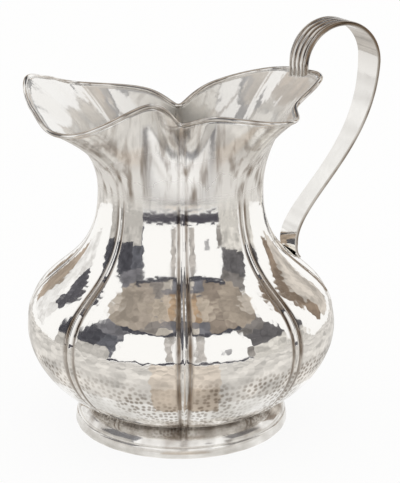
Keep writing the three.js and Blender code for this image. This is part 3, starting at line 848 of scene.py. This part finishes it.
class JUG_OT_bend_handle(bpy.types.Operator):
    """Bend the reeded strap from the lip over its arch to the shoulder"""

    bl_idname = "jug.bend_handle"
    bl_label = "Bend Handle"

    def section(self, trim, per_reed=10):
        """Distance across the strap, height of its reeded face and depth in a groove."""
        widths = [trim.bead_width, trim.reed_width, trim.reed_width, trim.reed_width, trim.bead_width]
        across, rise, groove = [], [], []
        edge = sum(widths) / 2
        for width in widths:
            share = np.arange(per_reed) / per_reed
            swell = np.sqrt(np.sin(math.pi * share))
            across.extend(edge - width * share)
            rise.extend(trim.strap_thickness - trim.reed_depth * (1 - swell))
            groove.extend(1 - swell)
            edge -= width
        across.append(edge)
        rise.append(trim.strap_thickness - trim.reed_depth)
        groove.append(1.0)
        return np.array(across), np.array(rise), np.array(groove)

    def lip_top(self, s, x, y):
        """Height of the upper face of the lip."""
        rim_radius, rim_height = rim_edge(np.arctan2(y, x))
        reach, rise = rim_radius - s.neck_radius, rim_height - s.neck_height
        t = ((np.hypot(x, y) - s.neck_radius) / reach) ** (1 / s.lip_curve)
        slope = rise / (reach * s.lip_curve * t ** (s.lip_curve - 1))
        return s.neck_height + rise * t + s.wall * np.hypot(1, slope)

    def path(self, s, trim):
        """Places along the strap's inner line, the direction and share of width there, and the share of the
        toe that is done."""
        def shoulder(share):
            point = sheet(s, 0.0, SHOULDER + share) - AXIS
            return point[[0, 2]]

        landing, toe_end = shoulder(trim.landing_at), shoulder(trim.toe_at)
        spring = np.array([trim.arch_centre + trim.arch_radius, trim.arch_height])
        settle_at = landing + np.array([0, trim.landing_rise])
        turn = np.linspace(math.pi, 0, 60)
        arch = np.column_stack([np.cos(turn), np.sin(turn)]) * trim.arch_radius
        arch = arch + np.array([trim.arch_centre, trim.arch_height])
        below, above = np.array([0, -trim.tail_turn]), np.array([0, trim.tail_reach])
        tail = bezier((spring, spring + below, settle_at + above, settle_at), np.linspace(0, 1, 70)[1:])
        t = np.linspace(0, 1, 26)[1:, None]
        toe = settle_at * (1 - t) ** 2 + 2 * landing * t * (1 - t) + toe_end * t * t
        line = np.concatenate([arch, tail, toe])
        way = np.gradient(line, axis=0)
        way[0] = (0, 1)
        way = way / np.linalg.norm(way, axis=1, keepdims=True)
        on_toe = np.concatenate([np.zeros(len(arch) + len(tail)), t[:, 0]])
        down = np.linspace(0, 1, len(tail) + 1)[1:]
        width = np.concatenate([
            np.linspace(trim.root_width, 1, len(arch)),
            1 + (trim.toe_width - 1) * down - trim.waist * np.sin(math.pi * down),
            np.full(len(toe), trim.toe_width),
        ])
        return line, way, width, on_toe

    def execute(self, context):
        s, trim, finish = context.scene.jug_body, context.scene.jug_trim, context.scene.jug_finish
        across, rise, groove = self.section(trim)
        line, way, width, on_toe = self.path(s, trim)
        face = sheet_normal(s, 0.0, SHOULDER + trim.toe_at)
        centre = sheet(s, 0.0, SHOULDER + trim.toe_at)[0] - AXIS[0]
        count = len(across)
        rings = []
        for at, along, share, toe in zip(line, way, width, on_toe):
            off = across * share
            drop = centre - (sheet(s, np.arcsin(off / centre), SHOULDER + trim.toe_at)[:, 0] - AXIS[0])
            thick = rise * (1 + (trim.toe_share - 1) * toe)
            ring = []
            for height, order in ((thick, slice(None)), (np.zeros(count), slice(None, None, -1))):
                points = np.column_stack([at[0] - along[1] * height, off, at[1] + along[0] * height])
                points = points - face * (toe * drop * face[0])[:, None]
                ring.append(points[order])
            rings.append(np.concatenate(ring))
        root = rings[0].copy()
        root[:, 2] = self.lip_top(s, root[:, 0], root[:, 1]) - ROOT_SINK
        start = [root + (rings[0] - root) * share for share in np.linspace(0, 1, 6)[:-1]]
        rings = start + rings
        columns = 2 * count
        faces = ring_faces(len(rings), columns)
        last = (len(rings) - 1) * columns
        for j in range(count - 1):
            k = columns - 1 - j
            faces.append((j, k, k - 1, j + 1))
            faces.append((last + j, last + j + 1, last + k - 1, last + k))
        silver = reeded_silver(finish, trim.arch_height)
        piece = mesh_object("reeded_handle", np.concatenate(rings) + AXIS, faces, silver)
        film = np.concatenate([RIDGE_FILM + (1 - RIDGE_FILM) * groove, np.zeros(count)])
        keep_attribute(piece, "groove", np.tile(film, len(rings)))
        piece.data.set_sharp_from_angle(angle=math.radians(50))
        settle(piece, "handle_strap", "handle_strap")

        solder = bpy.data.materials.get("silver_solder") or silver_solder(finish)
        fillet = (trim.solder_radius, SOLDER_SIDES, solder)
        toe_rings = rings[-TOE_SEAM:]
        down_one_side = [ring[[columns - 1]] for ring in toe_rings]
        up_the_other = [ring[[count]] for ring in reversed(toe_rings)]
        toe_line = np.concatenate(down_one_side + [rings[-1][columns - 2:count:-2]] + up_the_other)
        seam = wire_along("toe_solder", toe_line + AXIS, False, *fillet)
        settle(seam, "handle_strap")
        seat_line = np.concatenate([root, root[:1]])
        seat = wire_along("seat_solder", seat_line[::2] + AXIS, True, *fillet)
        settle(seat, "handle_strap")
        return {"FINISHED"}


class JUG_OT_set_stage(bpy.types.Operator):
    """Set the floor, the light, the cards that the silver mirrors and the camera"""

    bl_idname = "jug.set_stage"
    bl_label = "Set Stage"

    def spot(self, turn, out, up):
        """A place at a turn from the camera in degrees, a distance from the jug's axis and a height."""
        angle = bpy.context.scene.jug_stage.turn + math.radians(turn)
        return AXIS + np.array([out * math.sin(angle), -out * math.cos(angle), up])

    def bare_tree(self, owner):
        """The emptied node tree of a new material or world."""
        owner.use_nodes = True
        owner.node_tree.nodes.clear()
        return owner.node_tree

    def card(self, name, turns, profile, colour, grain):
        """A card swept round the jug from a profile of distance and height, that only reflections see. Its
        tone is uneven, as a plain wall's is."""
        columns = 25
        points = [self.spot(t, out, up) for out, up in profile for t in np.linspace(*turns, columns)]
        piece = mesh_object(name, points, ring_faces(len(profile), columns, closed=False))
        material = bpy.data.materials.new(name)
        tree = self.bare_tree(material)
        place = add(tree, "ShaderNodeTexCoord").outputs["Object"]
        cloud = add(tree, NOISE, Vector=place, Scale=1 / grain, Detail=3.0).outputs["Fac"]
        share = add(tree, RAMP, Value=cloud, s1=0.35, s2=0.65).outputs[0]
        base = np.array(linear(colour))
        dark, pale = base * (1 - TONE_SPREAD), np.minimum(base * (1 + TONE_SPREAD), 1.0)
        tone = add(tree, MIX, COLOURS, s0=share, s6=dark, s7=pale).outputs[2]
        light = add(tree, "ShaderNodeEmission", Color=tone, Strength=1.0)
        add(tree, "ShaderNodeOutputMaterial", Surface=light.outputs[0])
        piece.data.materials.append(material)
        piece.visible_camera = False
        piece.visible_shadow = False
        piece.visible_diffuse = False

    def execute(self, context):
        scene = context.scene
        stage = scene.jug_stage
        scene.view_settings.view_transform = "Standard"

        # Matt white paper, which looks nearly white all over and keeps a faint shadow of the jug.
        corners = [(x * FLOOR_REACH, y * FLOOR_REACH, 0) for x, y in ((-1, -1), (1, -1), (1, 1), (-1, 1))]
        floor = mesh_object("floor", corners, [(0, 1, 2, 3)])
        material = bpy.data.materials.new("white_paper_floor")
        tree = self.bare_tree(material)
        path = add(tree, "ShaderNodeLightPath").outputs
        paper = add(tree, "ShaderNodeBsdfDiffuse", Color=linear("F4F3F1")).outputs[0]
        white = add(tree, "ShaderNodeEmission", Color=linear("FFFFFF"), Strength=1.0).outputs[0]
        seen = path["Is Camera Ray"]
        for ray in ("Is Glossy Ray", "Is Transmission Ray"):
            seen = add(tree, MATH, {"operation": "MAXIMUM"}, s0=seen, s1=path[ray]).outputs[0]
        share = add(tree, MATH, TIMES, s0=seen, s1=FLOOR_GLOW).outputs[0]
        mixed = add(tree, "ShaderNodeMixShader", Fac=share, s1=paper, s2=white).outputs[0]
        add(tree, "ShaderNodeOutputMaterial", Surface=mixed)
        floor.data.materials.append(material)

        scene.world = bpy.data.worlds.new("white_studio")
        tree = self.bare_tree(scene.world)
        sky = add(tree, "ShaderNodeBackground", Color=linear("FFFFFF"), Strength=1.0).outputs[0]
        add(tree, "ShaderNodeOutputWorld", Surface=sky)

        for i, (name, turns, rises, colour) in enumerate(WALL_CARDS):
            rise, reach = np.radians(np.linspace(*rises, 9)), ROOM - i * CARD_STEP
            profile = np.column_stack([reach * np.cos(rise), EYE_LEVEL + reach * np.sin(rise)])
            self.card(name, turns, profile, colour, WALL_GRAIN)
        for name, turns, (near, far), height, colour in TABLE_CARDS:
            self.card(name, turns, [(far, height), (near, height)], colour, TABLE_GRAIN)

        camera = bpy.data.objects.new("camera", bpy.data.cameras.new("camera"))
        scene.collection.objects.link(camera)
        camera.data.sensor_width = 36
        camera.data.lens = stage.lens
        along = np.array([math.cos(stage.turn), math.sin(stage.turn), 0.0])
        camera.location = self.spot(0, stage.distance, stage.height) + along * stage.side
        camera.rotation_euler = Euler((math.pi / 2 - stage.pitch, 0, stage.turn))
        scene.camera = camera
        return {"FINISHED"}


class JUG_PT_panel(bpy.types.Panel):
    """Lists the steps of making the jug"""

    bl_idname = "JUG_PT_panel"
    bl_label = "Silver Jug"
    bl_space_type = "VIEW_3D"
    bl_region_type = "UI"
    bl_category = "Jug"

    def draw(self, context):
        layout = self.layout
        for step in STEPS:
            layout.operator(step.bl_idname)
        for group in (context.scene.jug_body, context.scene.jug_trim, context.scene.jug_finish,
                      context.scene.jug_stage):
            box = layout.box()
            for name in group.bl_rna.properties.keys():
                if name not in ("rna_type", "name"):
                    box.prop(group, name)


STEPS = (JUG_OT_raise_body, JUG_OT_draw_rim_wire, JUG_OT_turn_foot, JUG_OT_bend_handle, JUG_OT_set_stage)
GROUPS = {"jug_body": JugBodySizes, "jug_trim": JugTrimSizes, "jug_finish": JugFinish, "jug_stage": JugStage}


def register():
    for cls in (*GROUPS.values(), *STEPS, JUG_PT_panel):
        bpy.utils.register_class(cls)
    for name, group in GROUPS.items():
        setattr(bpy.types.Scene, name, PointerProperty(type=group))


def unregister():
    for name in GROUPS:
        delattr(bpy.types.Scene, name)
    for cls in (JUG_PT_panel, *reversed(STEPS), *reversed(GROUPS.values())):
        bpy.utils.unregister_class(cls)


def main():
    register()
    bpy.ops.jug.raise_body()
    bpy.ops.jug.draw_rim_wire()
    bpy.ops.jug.turn_foot()
    bpy.ops.jug.bend_handle()
    bpy.ops.jug.set_stage()


if __name__ == "__main__":
    main()
